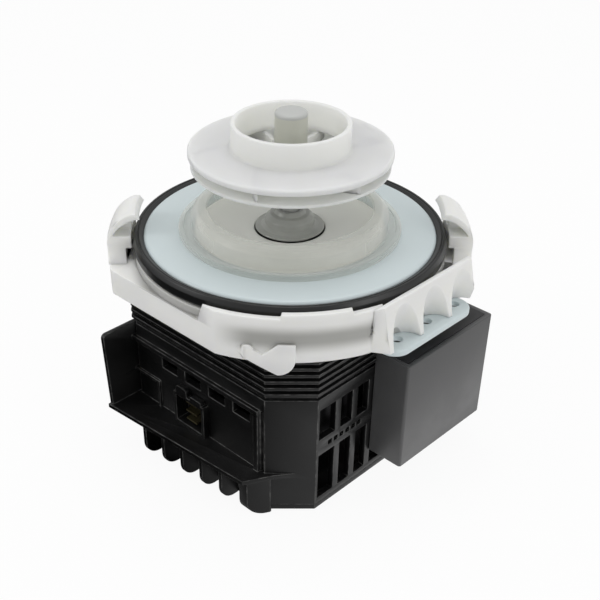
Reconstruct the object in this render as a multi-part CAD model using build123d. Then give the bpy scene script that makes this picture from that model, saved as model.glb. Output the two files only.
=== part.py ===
from build123d import *
from math import sqrt
import os

# Pump motor of a dishwasher, in millimetres. It stands on its base, impeller up.
# Origin: centre of the base face, on the shaft axis. +Z is the shaft axis.
# The connector bay looks along -Y and the capacitor sits on the +X side.
# The claws and the front and back of the frame lie on the diagonals of the square casing.

# Casing: octagonal lower and upper halves on a flat base cover
casing_width = 104.0
casing_across_corners = 127.0
casing_wall = 3.0
base_thickness = 2.6
lower_casing_top = 54.4
upper_casing_height = 22.6
roof_thickness = 3.0
shoulder_height = 3.5

# Cooling fins of the upper casing
fin_proud = 1.0
fin_corner_proud = 1.5
fin_root_depth = 1.0
fin_height = 1.3
fin_pitch = 2.93
fin_count = 6
fin_start = 2.7

# Cooling slots of the lower casing, with a row of small holes between the two rows
slot_margin = 1.2
wide_slot = 9.1
slot_width = 6.6
slot_bar = 3.1
upper_slot_height = 14.5
upper_slot_drop = 5.4
lower_slot_height = 21.8
lower_slot_rise = 2.4
capacitor_side_slot_count = 4
free_side_slot_count = 7
rail_hole = 2.2
rail_hole_margin = 6.4
rail_hole_pitch = 3.45
rail_hole_count = 6

# Connector bay: slanted shelf, end wall, ledge, gussets below and the foot at the corner
bay_left_inset = 10.7
bay_right_inset = 16.7
bay_wall = 2.0
bay_depth = 15.6
bay_slant = 5.8
bay_sink = 1.0
end_wall_setback = 1.2
end_wall_lean = -1.4
end_wall_round = 2.0
bay_post_width = 2.6
bay_post_proud = 1.4
bay_groove_width = 1.4
bay_groove_depth = 1.2
bay_groove_gap = 0.5
shelf_corner_inset = 10.8
shelf_end_inset = 4.0
shelf_proud = 1.5
shelf_flush = 0.3
shelf_top = 19.0
ledge_gap = 0.9
ledge_height = 2.2
ledge_depth = 1.5
bay_window_width = 9.4
bay_window_height = 5.6
bay_window_rise = 20.9
bay_window_pitch = 14.1
bay_window_count = 4
window_row_inset = 19.4
gusset_row_inset = 19.9
gusset_pitch = 10.8
gusset_count = 5
gusset_thickness = 1.9
gusset_radius = 7.0
gusset_setback = 1.6
foot_width = 9.0
pad_width = 15.6
pad_height = 13.2
pad_rim = 1.4
pad_proud = 1.0

# Connector socket, its latch and its contacts
socket_offset = -3.55
socket_width = 18.1
socket_height = 15.5
socket_depth = 8.0
socket_proud = 2.6
socket_wall = 1.5
socket_clearance = 0.2
latch_width = 6.6
latch_height = 3.6
latch_spacing = 8.6
contact_width = 6.3
contact_thickness = 0.8
contact_length = 5.0
contact_count = 3
contact_pitch = 4.2

# Capacitor: open box with a lid
capacitor_length = 54.3
capacitor_front = -5.5
capacitor_depth = 16.3
capacitor_bottom = 12.0
capacitor_height = 49.2
capacitor_wall = 2.2
capacitor_lid = 2.4
capacitor_edge = 1.2
capacitor_clearance = 0.3

# Front plate on its neck, and its rubber gasket
plate_radius = 58.3
plate_thickness = 3.0
plate_edge = 1.0
neck_height = 14.0
neck_inset = 6.3
neck_wall = 2.5
gasket_width = 4.2
gasket_height = 6.4
gasket_bulge = 1.1
gasket_edge = 0.6

# Mounting frame: skirt, shoulder, gasket seat and the tall walls at the front and the back
frame_wall = 2.5
frame_clearance = 1.5
frame_overlap = 3.5
frame_shoulder_drop = 9.8
frame_floor = 2.5
frame_seat_inset = 0.5
frame_seat_width = 3.5
frame_neck_gap = 1.5
tall_wall_drop = 2.1
tall_wall_half_width = 32.0
tall_wall_slant = 2.5
raised_wall_drop = 0.4
raised_wall_left = -3.9
raised_wall_right = 20.8
cove_half_width = 28.0
cove_floor_rise = 2.5
cove_top_drop = 2.2
cove_depth = 0.9

# Claws of the frame: a base, a block with a slot below it, and a hook with a web
claw_reach = 9.9
claw_draft = 0.4
claw_leg_gap = 3.1
claw_leg_relief = 0.8
claw_slot_relief = 0.5
claw_width = 18.0
claw_block_drop = 5.1
claw_block_clearance = 0.7
claw_back_drop = 3.0
claw_tip_rise = 9.4
claw_tip_depth = 3.3
claw_tip_width = 1.6
claw_tip_flat = 2.1
claw_round_inset = 3.3
claw_round_drop = 4.6
claw_shell = 2.3
claw_web = 3.0
claw_pocket_drop = 0.1

# Tongue on the front tall wall, with a lobe at its left
tongue_centre = -5.4
tongue_radius = 6.5
tongue_rise = 1.5
tongue_top_rise = 8.1
tongue_top_width = 6.3
tongue_valley = -10.8
tongue_valley_rise = 3.4
lobe_centre = -16.1
lobe_radius = 2.1
lobe_rise = 0.6
lobe_top_rise = 5.0
tongue_thickness = 0.8
tongue_gap = 1.0

# Side bracket with three screw holes, and the wall with three pockets above it
bracket_width = 8.5
bracket_front = -17.5
bracket_back = 31.5
bracket_thickness = 2.4
bracket_step = 0.5
bracket_corner = 7.0
bracket_edge = 0.6
bracket_hole = 4.2
bracket_hole_inset = 7.2
bracket_hole_pitch = 17.5
bracket_hole_middle = 8.8
bracket_clearance = 0.2
side_wall_gap = 0.2
ridge_reach = 6.5
ridge_top_reach = 2.1
ridge_width = 2.2
side_wall_back = 33.6
side_wall_shell = 1.2
pocket_screw_room = 0.7
pocket_overrun = 2.0

# Clear guide ring
guide_base_radius = 44.3
guide_base_thickness = 2.2
guide_wall = 1.8
guide_waist_radius = 39.2
guide_waist_height = 2.8
guide_lip_radius = 34.5
guide_draw_in = 1.0
guide_height = 9.8

# Shaft and its two ball bearings, of the common 8 x 22 x 7 size
shaft_diameter = 8.0
shaft_end_gap = 1.5
shaft_stub = 1.6
shaft_tip_depth = 1.8
bearing_outer = 22.0
bearing_width = 7.0
bearing_ring = 1.5
bearing_ball_count = 7
bearing_play = 0.03
lower_bearing_rise = 7.0
upper_bearing_drop = 2.5
bearing_boss_wall = 3.2
bearing_boss_roof = 2.0
clip_thickness = 1.0
clip_width = 1.6

# Stator and rotor
stack_height = 40.0
stack_rise = 0.4
stator_side_gap = 3.0
stator_corner_gap = 2.5
stator_rim = 8.0
stator_bore = 50.0
pole_count = 8
pole_width = 10.0
pole_shoe = 2.2
pole_gap = 3.0
pole_root = 1.0
air_gap = 0.4
bobbin_wall = 1.0
bobbin_play = 0.1
coil_build = 3.4
coil_setback = 0.4
coil_clearance = 0.3
coil_round = 2.7
end_ring_height = 4.0
end_ring_width = 7.0
end_ring_inset = 1.0
cutout_width = 7.0
cutout_length = 12.0
cutout_height = 4.0

# Long screws that clamp the casing and the stator, and short ones that hold the frame
screw_diameter = 4.0
screw_head = 7.6
screw_head_height = 2.0
screw_head_depth = 1.8
screw_inset = 12.5
screw_bite = 8.0
screw_clearance = 0.2
frame_screw_inset = 3.0
frame_screw_head = 5.6
frame_screw_length = 7.0
post_width = 13.0
post_depth = 14.0

# Shaft seal
seal_radius = 13.8
seal_skirt_height = 3.6
seal_skirt_edge = 1.0
seal_shoulder = 9.6
seal_height = 8.2
seal_wall = 1.2
seal_round = 1.4
seat_radius = 12.6
seat_bore = 6.0
seat_hole_margin = 1.0
seat_thickness = 3.6
seat_cup_wall = 1.6
seat_boss_wall = 2.5
seat_boss_depth = 3.0
seat_drop = 0.4
carbon_radius = 10.4
carbon_height = 2.0
carbon_gap = 0.05
carbon_bore_gap = 1.0
carbon_clearance = 0.2
spring_radius = 8.2
spring_wire = 0.9
spring_turns = 1.5
spring_clearance = 0.05
running_gap = 0.3

# Impeller
impeller_radius = 39.5
impeller_base_radius = 38.6
impeller_lift = 26.5
impeller_height = 7.5
impeller_base_sheet = 1.2
impeller_shroud_sheet = 1.6
impeller_rim = 2.5
impeller_rim_wall = 1.6
eye_radius = 22.95
eye_wall = 1.8
eye_height = 9.9
eye_edge = 0.5
vane_count = 6
vane_thickness = 1.6
vane_radius = 24.0
vane_centre_side = 18.7
vane_inner = 11.0
vane_margin = 0.4
vane_turn = -2.4
hub_wall = 2.3
hub_foot = 2.0
hub_foot_height = 3.0
hub_height = 19.9
hub_cap_height = 1.6
hub_cap_edge = 1.2

half_casing = casing_width / 2
corner_sum = casing_across_corners / sqrt(2)
corner_edge = corner_sum - half_casing
inner_width = casing_width - 2 * casing_wall
inner_across = casing_across_corners - 2 * casing_wall
upper_casing_top = lower_casing_top + upper_casing_height
fin_width = casing_width + 2 * fin_proud
fin_across_corners = casing_across_corners + 2 * fin_corner_proud
lower_slot_floor = base_thickness + lower_slot_rise
upper_slot_top = lower_casing_top - upper_slot_drop

bay_left = bay_left_inset - half_casing
bay_right = half_casing - bay_right_inset
bay_front = -half_casing - bay_depth
shelf_bottom = shelf_top - bay_wall
bay_window_floor = shelf_top + bay_window_rise
bay_window_top = bay_window_floor + bay_window_height
socket_left = socket_offset - socket_width / 2
socket_right = socket_offset + socket_width / 2
socket_front = -half_casing - socket_proud
socket_back = socket_front + socket_depth
capacitor_top = capacitor_bottom + capacitor_height

plate_bottom = upper_casing_top + neck_height
plate_top = plate_bottom + plate_thickness
neck_radius = plate_radius - neck_inset
gasket_radius = plate_radius + gasket_width
gasket_bottom = plate_top - gasket_height

half_frame = gasket_radius
frame_bottom = upper_casing_top - frame_overlap
frame_shoulder = plate_top - frame_shoulder_drop
frame_wall_radius = gasket_radius + frame_clearance + frame_wall
tall_wall_top = plate_top - tall_wall_drop
raised_wall_top = plate_top - raised_wall_drop
seat_outer = gasket_radius - frame_seat_inset
seat_inner = seat_outer - frame_seat_width
frame_opening = neck_radius + frame_neck_gap
claw_radius = gasket_radius + claw_reach
claw_leg = gasket_radius + claw_leg_gap
claw_inner = gasket_radius + claw_block_clearance
claw_block_bottom = plate_top - claw_block_drop
claw_tip_top = plate_top + claw_tip_rise
claw_tip_radius = gasket_radius - claw_tip_depth
bracket_top = frame_bottom + bracket_step
bracket_bottom = bracket_top - bracket_thickness
bracket_reach = half_frame + bracket_width
bracket_hole_x = bracket_reach - bracket_hole_inset
side_wall_inside = half_frame + side_wall_gap
side_wall_front = -sqrt(frame_wall_radius ** 2 - half_frame ** 2)

shaft_radius = shaft_diameter / 2
bearing_radius = bearing_outer / 2
lower_bearing = base_thickness + lower_bearing_rise
upper_bearing = upper_casing_top - upper_bearing_drop
shaft_bottom = lower_bearing - shaft_stub
stack_bottom = lower_bearing + bearing_width + clip_thickness + stack_rise + end_ring_height
stack_top = stack_bottom + stack_height
stator_width = inner_width - 2 * stator_side_gap
stator_across_corners = inner_across - 2 * stator_corner_gap
stator_yoke = stator_width / 2 - stator_rim
stator_radius = stator_bore / 2
rotor_radius = stator_radius - air_gap
screw_top = stack_top + screw_bite
screw_circle = casing_across_corners / 2 - screw_inset
frame_screw_circle = neck_radius + frame_screw_inset + screw_clearance
post_inner = inner_across / 2 - post_depth
impeller_bottom = plate_top + impeller_lift
impeller_top = impeller_bottom + impeller_height
hub_radius = shaft_radius + hub_wall
hub_top = impeller_bottom + hub_height
shaft_top = hub_top - shaft_tip_depth
vane_outer = impeller_base_radius - vane_margin
seat_floor = plate_top - seat_drop - seat_thickness
carbon_floor = plate_top - seat_drop + carbon_gap
diagonal = Rot(0, 0, 45)
far = 2 * casing_width
os.makedirs("parts", exist_ok=True)


def block(x0, x1, y0, y1, z0, z1):
    """Box between two corners."""
    return Pos((x0 + x1) / 2, (y0 + y1) / 2, (z0 + z1) / 2) * Box(x1 - x0, y1 - y0, z1 - z0)


def rod(radius, z0, z1, x=0.0, y=0.0):
    """Upright cylinder between two heights."""
    return Pos(x, y, (z0 + z1) / 2) * Cylinder(radius, z1 - z0)


def tube(outer, inner, z0, z1, x=0.0, y=0.0):
    """Upright tube between two heights."""
    return rod(outer, z0, z1, x, y) - rod(inner, z0, z1, x, y)


def octagon(width, across_corners, z0, z1, across_front=None):
    """Square block of the given width with its four corners cut flat."""
    side = across_corners / 2
    front = (across_front or across_corners) / 2
    square = block(-width / 2, width / 2, -width / 2, width / 2, z0, z1)
    return square & diagonal * block(-side, side, -front, front, z0, z1)


def turned(*edges):
    """Ring turned about the shaft from a closed outline in radius and height."""
    return revolve(Plane.XZ * make_face(Curve() + list(edges)), Axis.Z)


def four_corners(shape):
    """The same shape on all four diagonals."""
    return [diagonal * Rot(0, 0, 90 * quarter) * shape for quarter in range(4)]


def write(name, *pieces):
    """One STEP file per node. Separate solids of one node stay separate."""
    solids = [solid for piece in pieces for solid in piece.solids()]
    export_step(Compound(solids) if len(solids) > 1 else solids[0], f"parts/{name}.step")


# Base cover: flat floor with the pocket of the lower bearing
def make_base_cover():
    cover = octagon(casing_width, casing_across_corners, 0, base_thickness)
    cover += rod(bearing_radius + bearing_boss_wall, base_thickness, lower_bearing + bearing_width)
    cover -= rod(bearing_radius, lower_bearing, lower_bearing + bearing_width)
    cover -= rod(bearing_radius - bearing_ring, shaft_bottom - shaft_end_gap, lower_bearing)
    hole = rod(screw_diameter / 2 + screw_clearance, 0, base_thickness, screw_circle)
    hole += rod(screw_head / 2 + screw_clearance, 0, screw_head_height, screw_circle)
    for corner in four_corners(hole):
        cover -= corner
    return cover


# Lower casing: octagonal shell with cooling slots and the connector bay
def wall_cut(left, width, floor, top):
    """Cutter through a casing wall that faces +X."""
    return block(half_casing - 2 * casing_wall, half_casing + casing_wall, left, left + width, floor, top)


def slots(count):
    """Two rows of cooling slots from one corner on, the first one wide."""
    cuts = []
    edge = slot_margin - corner_edge
    for index in range(count):
        width = wide_slot if index == 0 else slot_width
        cuts.append(wall_cut(edge, width, lower_slot_floor, lower_slot_floor + lower_slot_height))
        cuts.append(wall_cut(edge, width, upper_slot_top - upper_slot_height, upper_slot_top))
        edge += width + slot_bar
    return cuts


def rail_holes():
    """Small square holes in the rail between the two rows of slots."""
    floor = (lower_slot_floor + lower_slot_height + upper_slot_top - upper_slot_height - rail_hole) / 2
    start = slot_margin - corner_edge + rail_hole_margin - rail_hole / 2
    return [wall_cut(start + index * rail_hole_pitch, rail_hole, floor, floor + rail_hole)
            for index in range(rail_hole_count)]


def bay_front_at(x):
    """The shelf's front edge runs at a slant, nearer the casing on the right."""
    return bay_front + bay_slant * (x - bay_left) / (bay_right - bay_left)


def shelf_outline():
    """Plan of the shelf, sunk into the casing's wall and its left corner."""
    root = bay_sink - half_casing
    corner_root = max(root, bay_sink * sqrt(2) - corner_sum - bay_left)
    proud = (casing_across_corners / 2 + shelf_proud) * sqrt(2)
    flush = (casing_across_corners / 2 - shelf_flush) * sqrt(2)
    shelf_corner = half_casing - shelf_corner_inset
    shelf_end = half_casing - shelf_end_inset
    return Polyline(
        (bay_left, corner_root),
        (bay_left, bay_front),
        (bay_right, bay_front_at(bay_right)),
        (shelf_corner, shelf_corner - proud),
        (shelf_end, shelf_end - flush),
        (bay_right, root),
        (max(-corner_edge, bay_left + bay_wall), root),
        close=True,
    )


def end_wall():
    """Wall at the left end of the bay, with a leaning front edge and a rounded top corner."""
    root = max(bay_sink - half_casing, bay_sink * sqrt(2) - corner_sum - bay_left)
    front = bay_front + end_wall_setback
    outline = Polyline(
        (root, shelf_bottom),
        (front, shelf_bottom),
        (front, shelf_top),
        (front + end_wall_lean, lower_casing_top),
        (root, lower_casing_top),
        close=True,
    )
    wall = extrude(Plane.YZ.offset(bay_left) * make_face(outline), bay_wall)
    return fillet(wall.edges().filter_by(Axis.X).group_by(Axis.Z)[-1].sort_by(Axis.Y)[0], end_wall_round)


def gusset(x, thickness):
    """Upright plate below the shelf with a large round at its lower front corner."""
    front = bay_front_at(x) + gusset_setback
    flat = block(x - thickness / 2, x + thickness / 2, front, bay_sink - half_casing, 0, shelf_bottom)
    edge = flat.edges().filter_by(Axis.X).group_by(Axis.Z)[0].sort_by(Axis.Y)[0]
    return fillet(edge, gusset_radius)


def pad_frame():
    """Raised rectangular rim on the casing wall, in the left part of the bay."""
    left = bay_left + bay_wall
    right = left + pad_width
    top = shelf_top + pad_height
    rim = block(left, right, -half_casing - pad_proud, bay_sink - half_casing, shelf_top, top)
    return rim - block(left, right - pad_rim, -half_casing - pad_proud, bay_sink - half_casing,
                       shelf_top, top - pad_rim)


def connector_bay():
    """All that stands out of the casing's wall around the connector."""
    root = bay_sink - half_casing
    bay = extrude(Plane.XY.offset(shelf_bottom) * make_face(shelf_outline()), bay_wall)
    bay += end_wall()
    ledge_floor = bay_window_top + ledge_gap
    bay += block(bay_left, bay_right, -half_casing - ledge_depth, root, ledge_floor,
                 ledge_floor + ledge_height)
    bay += block(bay_right - bay_post_width, bay_right, -half_casing - bay_post_proud, root, shelf_top,
                 ledge_floor)
    first = bay_left + gusset_row_inset
    for index in range(gusset_count):
        bay += gusset(first + index * gusset_pitch, gusset_thickness)
    foot_left = first + gusset_count * gusset_pitch - gusset_thickness / 2
    bay += gusset(foot_left + foot_width / 2, foot_width) & extrude(make_face(shelf_outline()), shelf_bottom)
    return bay + pad_frame()


def make_lower_casing():
    casing = octagon(casing_width, casing_across_corners, base_thickness, lower_casing_top)
    cavity = octagon(inner_width, inner_across, base_thickness, lower_casing_top)
    post = block(post_inner, inner_across / 2, -post_width / 2, post_width / 2, base_thickness, stack_bottom)
    for corner in four_corners(post):
        cavity -= corner
    casing -= cavity
    casing += connector_bay() - octagon(casing_width, casing_across_corners, 0, base_thickness)
    casing -= octagon(inner_width, inner_across, stack_bottom, lower_casing_top)
    hole = rod(screw_diameter / 2 + screw_clearance, base_thickness, stack_bottom, screw_circle)
    for corner in four_corners(hole):
        casing -= corner
    for cut in slots(capacitor_side_slot_count) + rail_holes():
        casing -= cut
    for turn in (90, 180):
        for cut in slots(free_side_slot_count):
            casing -= Rot(0, 0, turn) * cut
    for index in range(bay_window_count):
        left = bay_left + window_row_inset + index * bay_window_pitch
        casing -= block(left, left + bay_window_width, -half_casing - casing_wall,
                        -half_casing + 2 * casing_wall, bay_window_floor, bay_window_top)
    groove = bay_right + bay_groove_gap
    casing -= block(groove, groove + bay_groove_width, -half_casing - casing_wall,
                    -half_casing + bay_groove_depth, shelf_top, bay_window_top + ledge_gap + ledge_height)
    return casing - socket_body(socket_clearance)


# Upper casing: finned shell, roof with the upper bearing and the neck under the front plate
def make_upper_casing():
    core_width = casing_width - 2 * fin_root_depth
    core_across = casing_across_corners - 2 * fin_root_depth
    shoulder = upper_casing_top - shoulder_height
    roof = upper_casing_top - roof_thickness
    casing = octagon(core_width, core_across, lower_casing_top, shoulder)
    for index in range(fin_count):
        floor = lower_casing_top + fin_start + index * fin_pitch
        casing += octagon(fin_width, fin_across_corners, floor, floor + fin_height)
    front_reach = frame_wall_radius - frame_wall - frame_clearance - bracket_clearance
    side_reach = seat_outer - claw_slot_relief
    casing += octagon(fin_width, min(fin_across_corners, 2 * side_reach), shoulder, upper_casing_top,
                      min(fin_across_corners, 2 * front_reach))
    casing -= octagon(inner_width, inner_across, lower_casing_top, roof)
    for corner in four_corners(block(post_inner, inner_across / 2, -post_width / 2, post_width / 2,
                                     stack_top, roof)):
        casing += corner
    boss_top = upper_bearing + bearing_width + bearing_boss_roof
    casing += rod(bearing_radius + bearing_boss_wall, upper_bearing, boss_top)
    casing += tube(neck_radius, neck_radius - neck_wall, upper_casing_top, plate_bottom)
    casing -= rod(bearing_radius, roof - casing_wall, upper_bearing + bearing_width)
    casing -= rod(bearing_radius - bearing_ring, upper_bearing, boss_top)
    screw_hole = rod(screw_diameter / 2, stack_top, screw_top, screw_circle)
    frame_hole = rod(screw_diameter / 2, upper_casing_top - frame_screw_length + frame_floor,
                     upper_casing_top, frame_screw_circle)
    for corner in four_corners(screw_hole) + four_corners(frame_hole):
        casing -= corner
    return casing - capacitor_block(-capacitor_clearance, lower_casing_top,
                                    capacitor_top + capacitor_clearance)


# Mounting frame: skirt, shoulder, gasket seat, tall walls, claws, tongue and the side wall with its pockets
def frame_plan(margin, z0, z1):
    """Square cut by two circles: a small one at the front and back, a larger one at the claws."""
    width = half_frame - margin
    square = block(-width, width, -width, width, z0, z1)
    waist = half_frame / sqrt(2)
    ends = rod(claw_radius - margin, z0, z1) & diagonal * block(-far, far, -waist, waist, z0, z1)
    return square & (rod(frame_wall_radius - margin, z0, z1) + ends)


def tall_wall(left, right, top):
    """Curved wall at the front, between two distances from the diagonal, with slanted ends."""
    ring = tube(frame_wall_radius, frame_wall_radius - frame_wall, frame_shoulder, top)
    outline = Polyline(
        (left - tall_wall_slant, frame_shoulder),
        (right + tall_wall_slant, frame_shoulder),
        (right, top),
        (left, top),
        close=True,
    )
    front = extrude(Plane.XZ * make_face(outline), frame_wall_radius)
    square = block(-half_frame, half_frame, -half_frame, half_frame, frame_shoulder, top)
    return ring & diagonal * front & square


def claw():
    """Claw on the +X axis: turned about the shaft, cut to its outline, with two pockets in the hook."""
    back_height = plate_top - claw_back_drop
    outer = claw_radius + claw_draft
    rounding = (outer - claw_round_inset, claw_tip_top - claw_round_drop)
    tip_back = (claw_tip_radius + claw_tip_width + claw_tip_flat, claw_tip_top)
    relief = frame_shoulder - frame_floor
    hook = turned(
        Polyline(
            (claw_radius, frame_bottom),
            (claw_leg + claw_leg_relief, frame_bottom),
            (claw_leg + claw_leg_relief, relief),
            (claw_leg, relief + claw_leg_relief),
            (claw_leg, claw_block_bottom),
            (claw_inner, claw_block_bottom),
            (claw_inner, plate_top + claw_shell),
            (claw_tip_radius + claw_tip_width, claw_tip_top - 2 * claw_shell),
            (claw_tip_radius, claw_tip_top - claw_shell),
            (claw_tip_radius + claw_tip_width, claw_tip_top),
            tip_back,
        ),
        ThreePointArc(tip_back, rounding, (outer, back_height)),
        Line((outer, back_height), (claw_radius, frame_bottom)),
    )
    half = claw_width / 2
    corner = (half_frame * sqrt(2) - sqrt(2 * claw_radius ** 2 - 2 * half_frame ** 2)) / 2
    foot = max((half + corner) / 2, half + claw_shell)
    flare = half + (foot - half) / 3
    flare_height = frame_shoulder + (back_height - frame_shoulder) / 3
    outline = Curve() + [
        Polyline((-half, back_height), (-half, far), (half, far), (half, back_height)),
        ThreePointArc((half, back_height), (flare, flare_height), (foot, frame_shoulder)),
        Polyline((foot, frame_shoulder), (far, frame_shoulder), (far, frame_bottom), (-far, frame_bottom),
                 (-far, frame_shoulder), (-foot, frame_shoulder)),
        ThreePointArc((-foot, frame_shoulder), (-flare, flare_height), (-half, back_height)),
    ]
    hook &= extrude(Plane.YZ * make_face(outline), claw_radius + claw_reach)
    pocket_floor = plate_top - claw_pocket_drop
    inner = outer - claw_shell
    slant = claw_shell / sqrt(2)
    corner = (claw_tip_radius + claw_tip_width, claw_tip_top - claw_shell)
    pocket = turned(
        Polyline((inner, pocket_floor), (0, pocket_floor), (0, claw_tip_top - claw_shell), corner),
        ThreePointArc(corner, (rounding[0] - slant, rounding[1] - slant), (inner, pocket_floor)),
    )
    web = claw_web / 2
    return hook - (pocket - block(0, far, -web, web, pocket_floor, claw_tip_top))


def tongue():
    """Tongue that hangs from the front tall wall, with a small lobe at its left."""
    centre = frame_bottom + tongue_rise
    right = tongue_centre + tongue_radius
    slant = tongue_radius / sqrt(2)
    low = (tongue_centre, centre - tongue_radius)
    lobe_height = frame_bottom + lobe_rise + lobe_radius
    lobe_left = lobe_centre - lobe_radius
    lobe_right = lobe_centre + lobe_radius
    lobe_low = (lobe_centre, lobe_height - lobe_radius)
    lobe_slant = lobe_radius / sqrt(2)
    lobe_top = frame_bottom + lobe_top_rise
    top = frame_bottom + tongue_top_rise
    face = make_face(Curve() + [
        Line((right, top), (right, centre)),
        ThreePointArc((right, centre), (tongue_centre + slant, centre - slant), low),
        Line(low, lobe_low),
        ThreePointArc(lobe_low, (lobe_centre - lobe_slant, lobe_height - lobe_slant),
                      (lobe_left, lobe_height)),
        Line((lobe_left, lobe_height), (lobe_left, lobe_top)),
        ThreePointArc((lobe_left, lobe_top), (lobe_centre, lobe_top + lobe_radius), (lobe_right, lobe_top)),
        Polyline((lobe_right, lobe_top), (tongue_valley, frame_bottom + tongue_valley_rise),
                 (right - tongue_top_width, top), (right, top)),
    ])
    reach = frame_wall_radius + tongue_thickness
    shape = extrude(Plane.XZ * face, reach) & rod(reach, frame_bottom - far, top)
    return shape - rod(fin_across_corners / 2 + tongue_gap, frame_bottom - far, top)


def pocket(y):
    """Leaning round hollow above one bracket hole. It ends where the sloping wall meets it."""
    radius = (bracket_hole_pitch - ridge_width) / 2
    deepest = bracket_hole_x - bracket_hole / 2 - pocket_screw_room
    lean = (side_wall_inside + side_wall_shell - deepest) / (frame_shoulder - bracket_top)
    rise = tall_wall_top - bracket_top + pocket_overrun
    foot = Vector(deepest + radius - pocket_overrun * lean, y, bracket_top - pocket_overrun)
    top = Vector(deepest + radius + rise * lean, y, bracket_top + rise)
    axis = Plane(origin=foot, z_dir=top - foot)
    length = (top - foot).length
    return axis * Pos(0, 0, length / 2) * Cylinder(radius, length)


def side_wall():
    """Wall above the side bracket, before its pockets are cut: its outer face slopes outwards."""
    inside = half_frame - frame_wall
    first_ridge = bracket_hole_middle - 1.5 * bracket_hole_pitch - ridge_width / 2
    levels = []
    for z, reach in ((bracket_top, ridge_reach), (tall_wall_top, ridge_top_reach)):
        outline = Polyline(
            (inside, side_wall_front),
            (half_frame, side_wall_front),
            (half_frame + reach, first_ridge),
            (half_frame + reach, side_wall_back),
            (inside, side_wall_back),
            close=True,
        )
        levels.append(Pos(0, 0, z) * make_face(outline))
    wall = loft(levels, ruled=True)
    return wall - block(inside, side_wall_inside, -far, far, frame_shoulder, tall_wall_top)


def cove():
    """Shallow hollow in the front wall, which fades out at both ends."""
    floor = frame_bottom + cove_floor_rise
    top = tall_wall_top - cove_top_drop
    reach = sqrt(frame_wall_radius ** 2 - cove_half_width ** 2)
    shift = cove_depth * frame_wall_radius / (frame_wall_radius - reach)
    radius = frame_wall_radius + shift
    hollow = turned(
        Line((radius, floor), (radius, top)),
        ThreePointArc((radius, top), (radius - cove_depth, (floor + top) / 2), (radius, floor)),
    )
    return diagonal * (Pos(0, shift, 0) * hollow & block(-far, far, -far, 0, floor, top))


def make_mounting_frame():
    frame = frame_plan(0, frame_bottom, frame_shoulder)
    frame -= frame_plan(frame_wall, frame_bottom, frame_shoulder - frame_floor)
    frame -= rod(seat_inner, frame_bottom, frame_shoulder)
    frame += tube(seat_outer, seat_inner, upper_casing_top, gasket_bottom)
    frame += tube(seat_outer, frame_opening, upper_casing_top, upper_casing_top + frame_floor)
    limit = frame_plan(0, frame_bottom, frame_shoulder) + rod(far, frame_shoulder, claw_tip_top)
    for turn in (45, 225):
        frame += Rot(0, 0, turn) * claw() & limit
    front = tall_wall(-tall_wall_half_width, tall_wall_half_width, tall_wall_top)
    front += tall_wall(raised_wall_left, raised_wall_right, raised_wall_top)
    frame += front + Rot(0, 0, 180) * front
    frame -= cove()
    frame += diagonal * tongue()
    frame += side_wall()
    for index in (-1, 0, 1):
        frame -= pocket(bracket_hole_middle + index * bracket_hole_pitch)
    frame -= bracket_block(bracket_clearance, frame_bottom - bracket_thickness)
    for corner in four_corners(rod(screw_diameter / 2 + screw_clearance, upper_casing_top,
                                   upper_casing_top + frame_floor, frame_screw_circle)):
        frame -= corner
    return frame


# Side bracket: flat plate with rounded corners and three screw holes
def bracket_block(margin, floor):
    return block(fin_width / 2, bracket_reach + margin, bracket_front - margin, bracket_back + margin,
                 floor, bracket_top)


def make_side_bracket():
    plate = bracket_block(0, bracket_bottom)
    plate = fillet(plate.edges().filter_by(Axis.Z).group_by(Axis.X)[-1], bracket_corner)
    plate = fillet(plate.faces().sort_by(Axis.Z)[-1].edges().sort_by(Axis.X)[-1], bracket_edge)
    for index in (-1, 0, 1):
        plate -= rod(bracket_hole / 2, bracket_bottom, bracket_top, bracket_hole_x,
                     bracket_hole_middle + index * bracket_hole_pitch)
    return plate


# Front plate and gasket
def make_front_plate():
    cup_radius = seat_radius + seat_cup_wall
    plate = rod(plate_radius, plate_bottom, plate_top)
    plate = fillet(plate.edges().group_by(Axis.Z)[-1], plate_edge)
    plate += rod(cup_radius + seat_boss_wall, plate_bottom - seat_boss_depth, plate_bottom)
    plate -= rod(cup_radius, seat_floor - seat_cup_wall, plate_top)
    return plate - rod(seat_bore + seat_hole_margin, plate_bottom - seat_boss_depth, plate_top)


def make_sump_gasket():
    low = (gasket_radius - gasket_bulge, gasket_bottom)
    high = (gasket_radius - gasket_bulge, plate_top - gasket_edge)
    belly = (low[1] + high[1]) / 2
    lip = plate_radius + gasket_width / 2
    return turned(
        Polyline((plate_radius, plate_top - plate_edge), (plate_radius, gasket_bottom), low),
        ThreePointArc(low, (gasket_radius, belly), high),
        Polyline(high, (high[0] - gasket_edge, plate_top), (lip, plate_top),
                 (plate_radius, plate_top - plate_edge)),
    )


# Clear guide ring: flat foot and a bell-shaped wall
def make_guide_ring():
    foot = plate_top
    step = foot + guide_base_thickness
    waist = step + guide_waist_height
    lip = foot + guide_height
    inner_foot = guide_waist_radius - guide_wall
    inner_lip = guide_lip_radius - guide_wall
    middle = (waist + lip) / 2
    return turned(
        Polyline((inner_foot, foot), (guide_base_radius, foot), (guide_base_radius, step),
                 (guide_waist_radius, step), (guide_waist_radius, waist)),
        ThreePointArc((guide_waist_radius, waist), (guide_waist_radius - guide_draw_in, middle),
                      (guide_lip_radius, lip)),
        Line((guide_lip_radius, lip), (inner_lip, lip)),
        ThreePointArc((inner_lip, lip), (inner_foot - guide_draw_in, middle), (inner_foot, waist)),
        Line((inner_foot, waist), (inner_foot, foot)),
    )


# Ball bearings
def outer_ring(floor):
    return tube(bearing_radius, bearing_radius - bearing_ring, floor, floor + bearing_width)


def inner_ring(floor):
    return tube(shaft_radius + bearing_ring, shaft_radius, floor, floor + bearing_width)


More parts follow.
